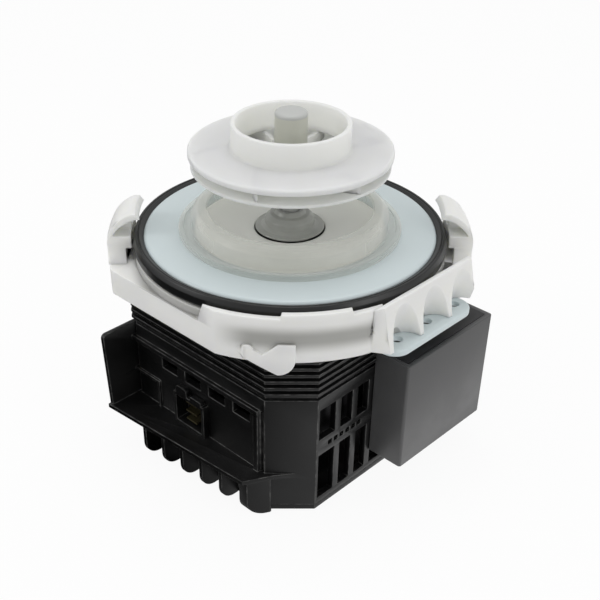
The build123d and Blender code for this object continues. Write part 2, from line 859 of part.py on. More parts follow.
def balls(floor):
    track = (bearing_radius + shaft_radius) / 2
    size = (bearing_radius - shaft_radius - 2 * bearing_ring) / 2 - bearing_play
    ball = Pos(track, 0, floor + bearing_width / 2) * Sphere(size)
    return [Rot(0, 0, 360 * index / bearing_ball_count) * ball for index in range(bearing_ball_count)]


# Stator: laminated core with eight poles, each with a bobbin and a coil
def make_stator_core():
    core = octagon(stator_width, stator_across_corners, stack_bottom, stack_top)
    core -= rod(stator_yoke, stack_bottom, stack_top)
    pole = block(stator_radius + pole_shoe / 2, stator_yoke + pole_root, -pole_width / 2, pole_width / 2,
                 stack_bottom, stack_top)
    for index in range(pole_count):
        core += Rot(0, 0, 360 * index / pole_count) * pole
    shoe = tube(stator_radius + pole_shoe, stator_radius, stack_bottom, stack_top)
    gap = block(0, stator_radius + 2 * pole_shoe, -pole_gap / 2, pole_gap / 2, stack_bottom, stack_top)
    for index in range(pole_count):
        shoe -= Rot(0, 0, 360 * (index + 0.5) / pole_count) * gap
    core += shoe
    hole = rod(screw_diameter / 2 + screw_clearance, stack_bottom, stack_top, screw_circle)
    for corner in four_corners(hole):
        core -= corner
    return core


def frame_around_pole(margin, build, inner, outer):
    """Rectangular ring round one pole on the +X axis, between two radii."""
    half = pole_width / 2 + margin
    floor = stack_bottom - margin
    top = stack_top + margin
    reach = half + build
    ring = block(inner, outer, -reach, reach, floor - build, top + build)
    return ring - block(inner, outer, -half, half, floor, top)


def bobbin():
    inner = stator_radius + pole_shoe + coil_clearance
    outer = stator_yoke - pole_shoe
    flange = bobbin_wall + coil_build - coil_setback
    sleeve = frame_around_pole(bobbin_play, bobbin_wall, inner, outer)
    sleeve += frame_around_pole(bobbin_play, flange, inner, inner + bobbin_wall)
    return sleeve + frame_around_pole(bobbin_play, flange, outer - bobbin_wall, outer)


def coil():
    inner = stator_radius + pole_shoe + coil_clearance + bobbin_wall
    outer = stator_yoke - pole_shoe - bobbin_wall
    ring = frame_around_pole(bobbin_play + bobbin_wall, coil_build, inner, outer)
    ends = ring.edges().filter_by(Axis.X).group_by(Axis.Z)
    return fillet(ends[0] + ends[-1], coil_round)


def round_the_stator(shape, first):
    """Every second pole, from the first one given."""
    return [Rot(0, 0, 360 * index / pole_count) * shape for index in range(first, pole_count, 2)]


def thermal_cutout():
    """Small box on top of the coil at the -X side."""
    floor = stack_top + bobbin_play + bobbin_wall + coil_build
    middle = -(stator_radius + stator_yoke) / 2
    return block(middle - cutout_width / 2, middle + cutout_width / 2, -cutout_length / 2, cutout_length / 2,
                 floor, floor + cutout_height)


# Rotor
def end_rings():
    outer = rotor_radius - end_ring_inset
    return [tube(outer, outer - end_ring_width, stack_bottom - end_ring_height, stack_bottom),
            tube(outer, outer - end_ring_width, stack_top, stack_top + end_ring_height)]


def clips():
    """Retaining clips on the shaft, beside the two bearings."""
    above = lower_bearing + bearing_width
    return [tube(shaft_radius + clip_width, shaft_radius, upper_bearing - clip_thickness, upper_bearing),
            tube(shaft_radius + clip_width, shaft_radius, above, above + clip_thickness)]


# Shaft seal
def make_seal_bell():
    skirt = plate_top + running_gap
    skirt_top = plate_top + seal_skirt_height
    top = plate_top + seal_height
    outer = turned(
        Polyline((shaft_radius, skirt), (seal_radius, skirt), (seal_radius, skirt + seal_skirt_edge),
                 (seal_shoulder + seal_round, skirt_top), (seal_shoulder, skirt_top)),
        ThreePointArc((seal_shoulder, skirt_top), (seal_shoulder - seal_round, top - seal_round),
                      (shaft_radius + seal_round, top)),
        Polyline((shaft_radius + seal_round, top), (shaft_radius, top), (shaft_radius, skirt)),
    )
    carbon_top = carbon_floor + carbon_height + spring_clearance
    cavity = rod(seal_radius - seal_wall, skirt, skirt + seal_skirt_edge / 2)
    cavity += rod(carbon_radius + carbon_clearance, skirt, carbon_top)
    cavity += rod(spring_radius + spring_wire, carbon_top, skirt_top + seal_wall)
    return outer - cavity


def make_seal_spring():
    floor = carbon_floor + carbon_height + spring_wire / 2 + spring_clearance
    ceiling = plate_top + seal_skirt_height + seal_wall - spring_wire / 2 - spring_clearance
    height = ceiling - floor
    path = Pos(0, 0, floor) * Helix(height / spring_turns, height, spring_radius - running_gap)
    section = Plane(path @ 0, z_dir=path % 0) * Circle(spring_wire / 2)
    return sweep(section, path)


# Impeller: shroud with the eye collar, base with curved vanes, hub and its cap
def vane():
    """Curved blade: part of a thin upright tube whose centre lies beside the shaft."""
    floor = impeller_bottom + impeller_base_sheet
    ceiling = impeller_top - impeller_shroud_sheet
    blade = tube(vane_radius + vane_thickness / 2, vane_radius - vane_thickness / 2, floor, ceiling,
                 x=(vane_inner + vane_outer) / 2, y=vane_centre_side)
    blade &= tube(vane_outer, vane_inner, floor, ceiling)
    return blade & block(0, far, -far, vane_centre_side, floor, ceiling)


def make_impeller_base():
    base = rod(impeller_base_radius, impeller_bottom, impeller_bottom + impeller_base_sheet)
    foot_top = impeller_bottom + impeller_base_sheet + hub_foot_height
    base += rod(hub_radius + hub_foot, impeller_bottom, foot_top)
    for index in range(vane_count):
        base += Rot(0, 0, vane_turn + 360 * index / vane_count) * vane()
    return base - rod(hub_radius, impeller_bottom, hub_top)


def make_impeller_shroud():
    floor = impeller_top - impeller_shroud_sheet
    eye_top = impeller_top + eye_height
    shroud = tube(impeller_radius, eye_radius - eye_wall, floor, impeller_top)
    rim_inside = max(impeller_radius - impeller_rim_wall, vane_outer)
    shroud += tube(impeller_radius, rim_inside, impeller_top - impeller_rim, floor)
    shroud += tube(eye_radius, eye_radius - eye_wall, floor, eye_top)
    collar = shroud.edges().filter_by(GeomType.CIRCLE).group_by(Axis.Z)[-1]
    return fillet(collar, eye_edge)


def make_impeller_hub():
    return rod(hub_radius, impeller_bottom, hub_top) - rod(shaft_radius, impeller_bottom, shaft_top)


def make_hub_cap():
    cap = rod(hub_radius, hub_top, hub_top + hub_cap_height)
    return fillet(cap.edges().group_by(Axis.Z)[-1], hub_cap_edge)


# Connector socket: open box sunk into the casing's wall, with a rounded latch on top
def socket_body(margin):
    return block(socket_left - margin, socket_right + margin, socket_front, socket_back + margin,
                 shelf_top, shelf_top + socket_height + margin)


def make_connector_socket():
    top = shelf_top + socket_height
    socket = socket_body(0)
    socket -= block(socket_left + socket_wall, socket_right - socket_wall, socket_front,
                    socket_back - socket_wall, shelf_top + socket_wall, top - socket_wall)
    front = socket_front
    back = -half_casing - socket_clearance
    for index, height in ((-0.5, latch_height), (0.5, latch_height / 2)):
        middle = socket_offset + index * latch_spacing
        hump = block(middle - latch_width / 2, middle + latch_width / 2, front, back, top, top + height)
        socket += fillet(hump.edges().filter_by(Axis.Y).group_by(Axis.Z)[-1], height / 2)
    return socket


def contacts():
    rise = shelf_top + socket_height / 2
    root = socket_back - socket_wall
    blade = block(socket_offset - contact_width / 2, socket_offset + contact_width / 2,
                  root - contact_length, root, rise - contact_thickness / 2, rise + contact_thickness / 2)
    offset = (contact_count - 1) / 2
    return [Pos(0, 0, (index - offset) * contact_pitch) * blade for index in range(contact_count)]


# Capacitor: open box with a lid, and the wound element inside
def capacitor_block(margin, z0, z1):
    return block(half_casing + margin, half_casing + capacitor_depth - margin, capacitor_front + margin,
                 capacitor_front + capacitor_length - margin, z0, z1)


def make_capacitor_case():
    case = capacitor_block(0, capacitor_bottom, capacitor_top)
    case = fillet(case.edges().filter_by(Axis.Z).group_by(Axis.X)[-1], capacitor_edge)
    return case - capacitor_block(capacitor_wall, capacitor_bottom + capacitor_wall, capacitor_top)


def make_capacitor_lid():
    return capacitor_block(capacitor_wall, capacitor_top - capacitor_lid, capacitor_top)


def make_capacitor_element():
    margin = capacitor_wall + capacitor_clearance
    element = capacitor_block(margin, capacitor_bottom + capacitor_wall, capacitor_top - capacitor_lid)
    return fillet(element.edges().filter_by(Axis.Z), 2 * capacitor_wall)


# Screws
def casing_screws():
    screw = rod(screw_diameter / 2, screw_head_height, screw_top, screw_circle)
    screw += rod(screw_head / 2, screw_head_height - screw_head_depth, screw_head_height, screw_circle)
    return four_corners(screw)


def frame_screws():
    floor = upper_casing_top + frame_floor
    screw = rod(screw_diameter / 2, floor - frame_screw_length, floor, frame_screw_circle)
    screw += rod(frame_screw_head / 2, floor, floor + screw_head_height, frame_screw_circle)
    return four_corners(screw)


write("base_cover", make_base_cover())
write("lower_casing", make_lower_casing())
write("upper_casing", make_upper_casing())
write("mounting_frame", make_mounting_frame())
write("side_bracket", make_side_bracket())
write("front_plate", make_front_plate())
write("sump_gasket", make_sump_gasket())
write("guide_ring", make_guide_ring())
write("connector_socket", make_connector_socket())
write("connector_contacts", *contacts())
write("capacitor_case", make_capacitor_case())
write("capacitor_lid", make_capacitor_lid())
write("capacitor_element", make_capacitor_element())
write("stator_core", make_stator_core())
write("main_bobbins", *round_the_stator(bobbin(), 0))
write("main_coils", *round_the_stator(coil(), 0))
write("auxiliary_bobbins", *round_the_stator(bobbin(), 1))
write("auxiliary_coils", *round_the_stator(coil(), 1))
write("thermal_cutout", thermal_cutout())
write("lower_bearing_outer_ring", outer_ring(lower_bearing))
write("lower_bearing_balls", *balls(lower_bearing))
write("upper_bearing_outer_ring", outer_ring(upper_bearing))
write("upper_bearing_balls", *balls(upper_bearing))
write("casing_screws", *casing_screws())
write("frame_screws", *frame_screws())
write("seal_seat", tube(seat_radius, seat_bore, seat_floor, plate_top - seat_drop))
write("seat_cup", tube(seat_radius + seat_cup_wall, seat_radius, seat_floor, plate_top - seat_drop))

write("shaft", rod(shaft_radius, shaft_bottom, shaft_top))
write("rotor_core", tube(rotor_radius, shaft_radius, stack_bottom, stack_top))
write("rotor_end_rings", *end_rings())
write("lower_bearing_inner_ring", inner_ring(lower_bearing))
write("upper_bearing_inner_ring", inner_ring(upper_bearing))
write("shaft_clips", *clips())
write("carbon_ring", tube(carbon_radius, shaft_radius + carbon_bore_gap, carbon_floor,
                          carbon_floor + carbon_height))
write("seal_spring", make_seal_spring())
write("seal_bell", make_seal_bell())
write("impeller_base", make_impeller_base())
write("impeller_shroud", make_impeller_shroud())
write("impeller_hub", make_impeller_hub())
write("hub_cap", make_hub_cap())
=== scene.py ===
import bmesh
import bpy
import numpy as np
from mathutils import Euler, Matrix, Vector


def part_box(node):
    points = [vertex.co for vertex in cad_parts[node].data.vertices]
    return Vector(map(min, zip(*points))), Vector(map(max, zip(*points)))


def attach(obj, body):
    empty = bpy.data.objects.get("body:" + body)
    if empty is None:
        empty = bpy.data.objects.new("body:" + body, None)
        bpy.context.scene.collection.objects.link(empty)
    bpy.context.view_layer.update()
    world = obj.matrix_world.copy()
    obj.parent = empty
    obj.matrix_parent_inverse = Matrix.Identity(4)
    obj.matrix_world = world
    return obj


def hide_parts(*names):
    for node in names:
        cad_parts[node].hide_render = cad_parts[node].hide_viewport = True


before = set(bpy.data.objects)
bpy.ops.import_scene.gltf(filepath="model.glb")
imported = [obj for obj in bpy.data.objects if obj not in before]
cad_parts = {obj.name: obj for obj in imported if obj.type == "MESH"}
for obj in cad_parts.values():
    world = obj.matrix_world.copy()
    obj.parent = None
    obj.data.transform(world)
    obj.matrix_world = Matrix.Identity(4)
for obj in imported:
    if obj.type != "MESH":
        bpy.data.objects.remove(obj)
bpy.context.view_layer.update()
MM = 0.001

# View
# The photograph looks down at 35 degrees from between the connector bay and the capacitor, 400 mm
# away from the seal. The picture is cut from the upper left of the lens's view.
camera_data = bpy.data.cameras.new("camera")
camera_data.lens = 60.0
camera_data.sensor_width = 36.0
camera_data.shift_x = 0.0533
camera_data.shift_y = 0.1033
camera = bpy.data.objects.new("camera", camera_data)
camera.location = (0.2476, -0.2599, 0.2789)
camera.rotation_euler = Euler((np.radians(55.0), 0.0, np.radians(45.0)))
bpy.context.scene.collection.objects.link(camera)
bpy.context.scene.camera = camera

# Studio
# A white room with three weak soft lamps: right, left front and overhead. The pale floor reads as
# white but keeps the shadow. In glossy surfaces it shows a dark side at the left front.
scene = bpy.context.scene
scene.view_settings.view_transform = "Standard"
world = bpy.data.worlds.new("white_room")
scene.world = world
world.use_nodes = True
room = world.node_tree.nodes
join = world.node_tree.links.new
room["Background"].inputs["Color"].default_value = (1.0, 1.0, 1.0, 1.0)
room["Background"].inputs["Strength"].default_value = 0.62
backdrop = room.new("ShaderNodeBackground")
rays = room.new("ShaderNodeLightPath")
seen = room.new("ShaderNodeMath")
seen.operation = "MAXIMUM"
join(rays.outputs["Is Camera Ray"], seen.inputs[0])
join(rays.outputs["Is Transmission Ray"], seen.inputs[1])
pick = room.new("ShaderNodeMixShader")
join(seen.outputs[0], pick.inputs[0])
join(room["Background"].outputs[0], pick.inputs[1])
join(backdrop.outputs[0], pick.inputs[2])
join(pick.outputs[0], room["World Output"].inputs["Surface"])


def soft_lamp(name, place, size, watts):
    """Square area lamp that faces the middle of the object."""
    data = bpy.data.lights.new(name, "AREA")
    data.size = size
    data.energy = watts
    lamp = bpy.data.objects.new(name, data)
    lamp.location = place
    aim = Vector((0.0, 0.0, 0.07)) - Vector(place)
    lamp.rotation_euler = aim.to_track_quat("-Z", "Y").to_euler()
    scene.collection.objects.link(lamp)


soft_lamp("lamp_right", (0.75, 0.10, 0.40), 0.40, 1.0)
soft_lamp("lamp_left_front", (-0.45, -0.70, 0.55), 0.32, 1.7)
soft_lamp("lamp_top", (-0.10, 0.15, 0.90), 0.40, 1.8)

floor_reach = 3.0
paper_glow = 0.93
dark_side = (-0.070, 0.060)
floor_mesh = bpy.data.meshes.new("floor")
floor_mesh.from_pydata(
    [(-floor_reach, -floor_reach, 0), (floor_reach, -floor_reach, 0), (floor_reach, floor_reach, 0),
     (-floor_reach, floor_reach, 0)],
    [], [(0, 1, 2, 3)],
)
floor = bpy.data.objects.new("floor", floor_mesh)
scene.collection.objects.link(floor)
paper = bpy.data.materials.new("white_paper")
paper.use_nodes = True
floor_mesh.materials.append(paper)
paper_nodes = paper.node_tree.nodes
paper_nodes["Principled BSDF"].inputs["Base Color"].default_value = (0.86, 0.86, 0.86, 1.0)
paper_nodes["Principled BSDF"].inputs["Roughness"].default_value = 0.9
paper_link = paper.node_tree.links.new
glow = paper_nodes.new("ShaderNodeEmission")
paper_rays = paper_nodes.new("ShaderNodeLightPath")
share = paper_nodes.new("ShaderNodeMath")
share.operation = "MULTIPLY"
share.inputs[1].default_value = paper_glow
paper_link(paper_rays.outputs["Is Camera Ray"], share.inputs[0])
blend = paper_nodes.new("ShaderNodeMixShader")
paper_link(share.outputs[0], blend.inputs[0])
paper_link(paper_nodes["Principled BSDF"].outputs[0], blend.inputs[1])
paper_link(glow.outputs[0], blend.inputs[2])
where = paper_nodes.new("ShaderNodeTexCoord")
across = paper_nodes.new("ShaderNodeVectorMath")
across.operation = "DOT_PRODUCT"
across.inputs[1].default_value = (1.0, 1.0, 0.0)
paper_link(where.outputs["Object"], across.inputs[0])
ramp = paper_nodes.new("ShaderNodeMapRange")
ramp.inputs["From Min"].default_value, ramp.inputs["From Max"].default_value = dark_side
paper_link(across.outputs["Value"], ramp.inputs["Value"])
mirrored = paper_nodes.new("ShaderNodeEmission")
paper_link(ramp.outputs["Result"], mirrored.inputs["Strength"])
choice = paper_nodes.new("ShaderNodeMixShader")
paper_link(paper_rays.outputs["Is Glossy Ray"], choice.inputs[0])
paper_link(blend.outputs[0], choice.inputs[1])
paper_link(mirrored.outputs[0], choice.inputs[2])
paper_link(choice.outputs[0], paper_nodes["Material Output"].inputs["Surface"])

# Base cover and lower casing
# The cover closes the octagonal casing from below. Both are black plastic mouldings with a fine satin
# grain, and their rounded edges carry a painted highlight. The casing has cooling slots, and the
# connector bay stands out of its front.


def moulded(name, colour, roughness, drift=0.06, grain=0.25, depth=0.004, **sockets):
    """Moulded plastic. A slow noise of about 12 mm moves the colour by the drift and the roughness
    between its two values. A fine noise of the grain's size in mm lifts the surface by the depth."""
    material = bpy.data.materials.new(name)
    material.use_nodes = True
    nodes = material.node_tree.nodes
    link = material.node_tree.links.new
    shader = nodes["Principled BSDF"]
    place = nodes.new("ShaderNodeTexCoord")
    slow = nodes.new("ShaderNodeTexNoise")
    slow.inputs["Scale"].default_value = 1.0 / (12.0 * MM)
    slow.inputs["Detail"].default_value = 3.0
    link(place.outputs["Object"], slow.inputs["Vector"])
    tint = nodes.new("ShaderNodeMix")
    tint.data_type = "RGBA"
    tint.inputs["A"].default_value = [part * (1.0 - drift) for part in colour] + [1.0]
    tint.inputs["B"].default_value = [part * (1.0 + drift) for part in colour] + [1.0]
    link(slow.outputs["Fac"], tint.inputs["Factor"])
    link(tint.outputs["Result"], shader.inputs["Base Color"])
    gloss = nodes.new("ShaderNodeMapRange")
    gloss.inputs["From Min"].default_value = 0.3
    gloss.inputs["From Max"].default_value = 0.7
    gloss.inputs["To Min"].default_value = roughness[0]
    gloss.inputs["To Max"].default_value = roughness[1]
    link(slow.outputs["Fac"], gloss.inputs["Value"])
    link(gloss.outputs["Result"], shader.inputs["Roughness"])
    fine = nodes.new("ShaderNodeTexNoise")
    fine.inputs["Scale"].default_value = 1.0 / (grain * MM)
    fine.inputs["Detail"].default_value = 2.0
    link(place.outputs["Object"], fine.inputs["Vector"])
    lift = nodes.new("ShaderNodeBump")
    lift.inputs["Distance"].default_value = depth * MM
    link(fine.outputs["Fac"], lift.inputs["Height"])
    link(lift.outputs["Normal"], shader.inputs["Normal"])
    for socket, value in sockets.items():
        shader.inputs[socket.replace("_", " ")].default_value = value
    return material


def finish_piece(piece, material, body, node):
    """Material, finish, body and CAD node of a new piece."""
    scene.collection.objects.link(piece)
    piece.data.materials.clear()
    piece.data.materials.append(material)
    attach(piece, body)
    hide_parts(node)


def softened(node, width, material, body="motor", segments=2, highlight_material=None, parted=()):
    """Moulding with rounded edges: the CAD piece's corners merged, its flat faces rejoined, and every
    edge that turns more than 28 degrees cut back by the width in mm on both sides. The rounding may have
    a material of its own, which paints a highlight on the edges. Walls with rows of openings are parted at
    the given heights in mm, such as half way up each row, so that no flat face has an opening inside it."""
    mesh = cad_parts[node].data.copy()
    solid = bmesh.new()
    solid.from_mesh(mesh)
    bmesh.ops.remove_doubles(solid, verts=solid.verts, dist=0.002 * MM)
    for height in parted:
        cut = bmesh.ops.bisect_plane(solid, geom=solid.verts[:] + solid.edges[:] + solid.faces[:],
                                     plane_co=(0.0, 0.0, height * MM), plane_no=(0.0, 0.0, 1.0))
        for item in cut["geom_cut"]:
            if isinstance(item, bmesh.types.BMEdge):
                item.seam = True
    bmesh.ops.dissolve_limit(solid, angle_limit=np.radians(0.5), verts=solid.verts, edges=solid.edges,
                             delimit={"SEAM"})
    solid.to_mesh(mesh)
    solid.free()
    mesh.shade_smooth()
    piece = bpy.data.objects.new(node + "_moulding", mesh)
    finish_piece(piece, material, body, node)
    bevel = piece.modifiers.new("rounded_edges", "BEVEL")
    bevel.width = width * MM
    bevel.segments = segments
    bevel.limit_method = "ANGLE"
    bevel.angle_limit = np.radians(28.0)
    bevel.use_clamp_overlap = False
    bevel.harden_normals = True
    bevel.miter_outer = "MITER_ARC"
    if highlight_material:
        mesh.materials.append(highlight_material)
        bevel.material = 1
    return piece


def patchy_highlight(name, dark, light, size, least, roughness):
    """Moulded plastic with a painted highlight in uneven patches: a noise of the given size in mm above
    the least value moves the colour from dark to light."""
    material = moulded(name, dark, roughness)
    nodes = material.node_tree.nodes
    link = material.node_tree.links.new
    patch = nodes.new("ShaderNodeTexNoise")
    patch.inputs["Scale"].default_value = 1.0 / (size * MM)
    patch.inputs["Detail"].default_value = 4.0
    link(nodes["Texture Coordinate"].outputs["Object"], patch.inputs["Vector"])
    amount = nodes.new("ShaderNodeMapRange")
    amount.inputs["From Min"].default_value = least
    amount.inputs["From Max"].default_value = least + 0.25
    link(patch.outputs["Fac"], amount.inputs["Value"])
    shade = nodes.new("ShaderNodeMix")
    shade.data_type = "RGBA"
    link(amount.outputs["Result"], shade.inputs["Factor"])
    link(nodes["Mix"].outputs["Result"], shade.inputs["A"])
    shade.inputs["B"].default_value = [*light, 1.0]
    link(shade.outputs["Result"], nodes["Principled BSDF"].inputs["Base Color"])
    return material


casing_black = moulded(
    "casing_black", (0.0024, 0.0024, 0.0025), (0.38, 0.50), depth=0.006, Specular_IOR_Level=0.5
)
# Painted highlight: the rounded edges of the black mouldings get this lighter black in uneven patches, in
# place of the light they catch.
edge_highlight_black = patchy_highlight(
    "edge_highlight_black", dark=(0.014, 0.014, 0.014), light=(0.095, 0.095, 0.092), size=3.0, least=0.40,
    roughness=(0.5, 0.6),
)
softened("base_cover", 0.25, casing_black, highlight_material=edge_highlight_black)
lower_slots_middle, band_middle, upper_slots_middle = 15.9, 30.6, 41.75
softened("lower_casing", 0.22, casing_black, highlight_material=edge_highlight_black,
         parted=(lower_slots_middle, band_middle, upper_slots_middle))

# Upper casing
# Finned shell of the same black plastic. It stands on the lower casing, holds the upper bearing and
# carries the front plate on its neck.
softened("upper_casing", 0.22, casing_black, highlight_material=edge_highlight_black)

# Connector socket and its contacts
# A separate black moulding, pushed into the casing's wall from the bay, with a rounded latch on top.
# Its three stamped brass blades stand one above the other.
softened("connector_socket", 0.2, casing_black, highlight_material=edge_highlight_black)


def dress(material, *nodes):
    """The material alone on pieces that keep their CAD shape."""
    for node in nodes:
        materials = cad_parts[node].data.materials
        materials.clear()
        materials.append(material)


# Brass colour, darkened further as painted shade for the blades deep inside the socket.
blade_brass = moulded("blade_brass", (0.22, 0.19, 0.10), (0.32, 0.48), drift=0.12, grain=0.12, Metallic=1.0)
dress(blade_brass, "connector_contacts")

# Capacitor
# A black box with slightly drafted walls, pushed onto the casing's side. Its lid of cast resin lies
# between the walls, and the wound film element is sealed below.
capacitor_black = moulded(
    "capacitor_black", (0.088, 0.088, 0.089), (0.34, 0.44), depth=0.003, Specular_IOR_Level=0.35
)
softened("capacitor_case", 0.35, capacitor_black)
potting = moulded("potting", (0.022, 0.022, 0.023), (0.45, 0.7), drift=0.15, grain=0.8, depth=0.02)
wound_film = moulded("wound_film", (0.70, 0.66, 0.52), (0.18, 0.3), drift=0.05, grain=0.4)
dress(potting, "capacitor_lid")
dress(wound_film, "capacitor_element")

# Stator
# A stack of punched steel sheets, 0.5 mm each, with eight poles. Each pole has a plastic bobbin wound
# with enamelled copper wire, and a thermal cut-out sits on the winding. The rotor's stack is alike.


def layered(name, colour, dark, pitch, roughness):
    """Thin level layers of metal. The height in pitches, folded to its distance from the nearest whole
    number, says how near a joint is, and the colour falls to the dark share there. The pitch is in mm."""
    material = moulded(name, colour, roughness, drift=0.12, grain=0.3, Metallic=1.0)
    nodes = material.node_tree.nodes
    link = material.node_tree.links.new
    shader = nodes["Principled BSDF"]
    place = nodes["Texture Coordinate"]
    layer = nodes.new("ShaderNodeVectorMath")
    layer.operation = "DOT_PRODUCT"
    layer.inputs[1].default_value = (0.0, 0.0, 1.0 / (pitch * MM))
    link(place.outputs["Object"], layer.inputs[0])
    fold = nodes.new("ShaderNodeMath")
    fold.operation = "PINGPONG"
    fold.inputs[1].default_value = 0.5
    link(layer.outputs["Value"], fold.inputs[0])
    joint = nodes.new("ShaderNodeMapRange")
    joint.inputs["From Max"].default_value = 0.14
    joint.inputs["To Min"].default_value = dark
    link(fold.outputs["Value"], joint.inputs["Value"])
    shade = nodes.new("ShaderNodeMix")
    shade.data_type = "RGBA"
    shade.blend_type = "MULTIPLY"
    shade.inputs["Factor"].default_value = 1.0
    link(nodes["Mix"].outputs["Result"], shade.inputs["A"])
    link(joint.outputs["Result"], shade.inputs["B"])
    link(shade.outputs["Result"], shader.inputs["Base Color"])
    return material


# The steel is darkened to near black as painted shade for the inside of the casing, seen through its slots.
stack_steel = layered("stack_steel", (0.05, 0.05, 0.052), dark=0.35, pitch=0.5, roughness=(0.35, 0.55))
copper = layered("enamelled_copper", (0.55, 0.22, 0.09), dark=0.4, pitch=0.45, roughness=(0.25, 0.4))
bobbin_nylon = moulded("bobbin_nylon", (0.70, 0.68, 0.60), (0.4, 0.55), grain=0.4)
dress(stack_steel, "stator_core", "rotor_core")
dress(copper, "main_coils", "auxiliary_coils")
dress(bobbin_nylon, "main_bobbins", "auxiliary_bobbins", "thermal_cutout")

# Rotor, bearings, clips and screws
# Cast aluminium end rings close the rotor's stack. The ball bearings are ground steel, the clips and
# screws are zinc plated.
cast_aluminium = moulded(
    "cast_aluminium", (0.58, 0.59, 0.60), (0.4, 0.6), drift=0.1, grain=0.5, depth=0.01, Metallic=1.0
)
ground_steel = moulded(
    "ground_steel", (0.60, 0.60, 0.61), (0.12, 0.22), drift=0.05, grain=0.2, Metallic=1.0
)
plated_steel = moulded(
    "plated_steel", (0.55, 0.56, 0.57), (0.28, 0.42), drift=0.12, grain=0.3, Metallic=1.0
)
dress(cast_aluminium, "rotor_end_rings")
for bearing in ("lower_bearing", "upper_bearing"):
    dress(ground_steel, bearing + "_outer_ring", bearing + "_inner_ring", bearing + "_balls")
dress(plated_steel, "shaft_clips", "casing_screws", "frame_screws")

# Mounting frame
# One white moulding of a waxy plastic that lets a little light in. It sits on the casing's roof, held
# by four screws, and its two claws grip the sump.
frame_white = moulded(
    "frame_white", (0.83, 0.83, 0.805), (0.34, 0.46), drift=0.02, grain=0.5, depth=0.003,
    Subsurface_Weight=0.5, Subsurface_Scale=0.005, Subsurface_Radius=(1.0, 1.0, 0.85),
)


def smooth_step(material, value, low, high):
    """Output that rises smoothly from 0 at the low value to 1 at the high one."""
    step = material.node_tree.nodes.new("ShaderNodeMapRange")
    step.interpolation_type = "SMOOTHSTEP"
    step.inputs["From Min"].default_value = low
    step.inputs["From Max"].default_value = high
    material.node_tree.links.new(value, step.inputs["Value"])
    return step.outputs["Result"]


def combined(material, operation, first, second):
    """Output of a Math node on two outputs or numbers."""
    math = material.node_tree.nodes.new("ShaderNodeMath")
    math.operation = operation
    for socket, value in zip(math.inputs, (first, second)):
        if isinstance(value, float):
            socket.default_value = value
        else:
            material.node_tree.links.new(value, socket)
    return math.outputs[0]


def along(material, direction):
    """Output with the distance from the origin along a direction."""
    dot = material.node_tree.nodes.new("ShaderNodeVectorMath")
    dot.operation = "DOT_PRODUCT"
    dot.inputs[1].default_value = direction
    place = material.node_tree.nodes["Texture Coordinate"]
    material.node_tree.links.new(place.outputs["Object"], dot.inputs[0])
    return dot.outputs["Value"]


def within(material, *limits):
    """Product of one smooth step for each limit (output, low, high) in metres: 1 well inside them all
    and 0 past any of them."""
    share = smooth_step(material, *limits[0])
    for limit in limits[1:]:
        share = combined(material, "MULTIPLY", share, smooth_step(material, *limit))
    return share


# Painted shade: the white is mixed towards grey in the hollow at the front, in the skirt under the
# gasket and in the ledge beside it, where these lie in shade.
diagonal = np.sqrt(0.5)
ledge_share = 0.9
height = along(frame_white, (0.0, 0.0, 1.0))
sideways = along(frame_white, (diagonal, diagonal, 0.0))
forward = along(frame_white, (diagonal, -diagonal, 0.0))
squares = [combined(frame_white, "POWER", way, 2.0) for way in (sideways, forward)]
distance = combined(frame_white, "SQRT", combined(frame_white, "ADD", *squares), 0.0)
hollow = within(
    frame_white,
    (height, 0.0765, 0.0820),  # its soft foot
    (height, 0.0895, 0.0840),  # its roof
    (sideways, -0.030, -0.014),  # its left end
    (forward, 0.052, 0.058),  # the front wall only
    (distance, 0.0670, 0.0667),  # behind the tab
)
skirt = within(
    frame_white,
    (distance, 0.0624, 0.0621),  # the round wall
    (height, 0.0885, 0.0865),  # under the gasket
)
ledge = within(
    frame_white,
    (height, 0.0836, 0.0840),  # just under its top
    (height, 0.0850, 0.0846),  # just over its top
    (sideways, -0.062, -0.052),  # from the left claw
    (sideways, -0.0338, -0.0350),  # to the tall wall
    (forward, 0.010, 0.020),  # the front side only
)
painted_shade = combined(frame_white, "MAXIMUM", hollow, combined(
    frame_white, "MULTIPLY", combined(frame_white, "MAXIMUM", skirt, ledge), ledge_share
))
# Grey of the painted shade on the frame.
grey = frame_white.node_tree.nodes.new("ShaderNodeMix")
grey.data_type = "RGBA"
grey.inputs["B"].default_value = (0.40, 0.40, 0.38, 1.0)
frame_white.node_tree.links.new(painted_shade, grey.inputs["Factor"])
frame_white.node_tree.links.new(frame_white.node_tree.nodes["Mix"].outputs["Result"], grey.inputs["A"])
frame_white.node_tree.links.new(
    grey.outputs["Result"], frame_white.node_tree.nodes["Principled BSDF"].inputs["Base Color"]
)
softened("mounting_frame", 0.35, frame_white, segments=3)

# Side bracket
# A flat plate of blue-grey plastic with three screw holes in a line. It is pushed under the ribbed wall
# of the frame, over the capacitor.
plate_blue_grey = moulded(
    "plate_blue_grey", (0.60, 0.675, 0.69), (0.32, 0.42), drift=0.015, grain=0.5, depth=0.002,
    Subsurface_Weight=0.1, Subsurface_Scale=0.003, Subsurface_Radius=(1.0, 1.0, 1.0),
)
softened("side_bracket", 0.35, plate_blue_grey, segments=3)

# Front plate
# A blue-grey disc with a softly rounded rim and a boss for the seal's seat, pressed onto the neck of
# the casing. Inside the guide ring a milky film covers it.


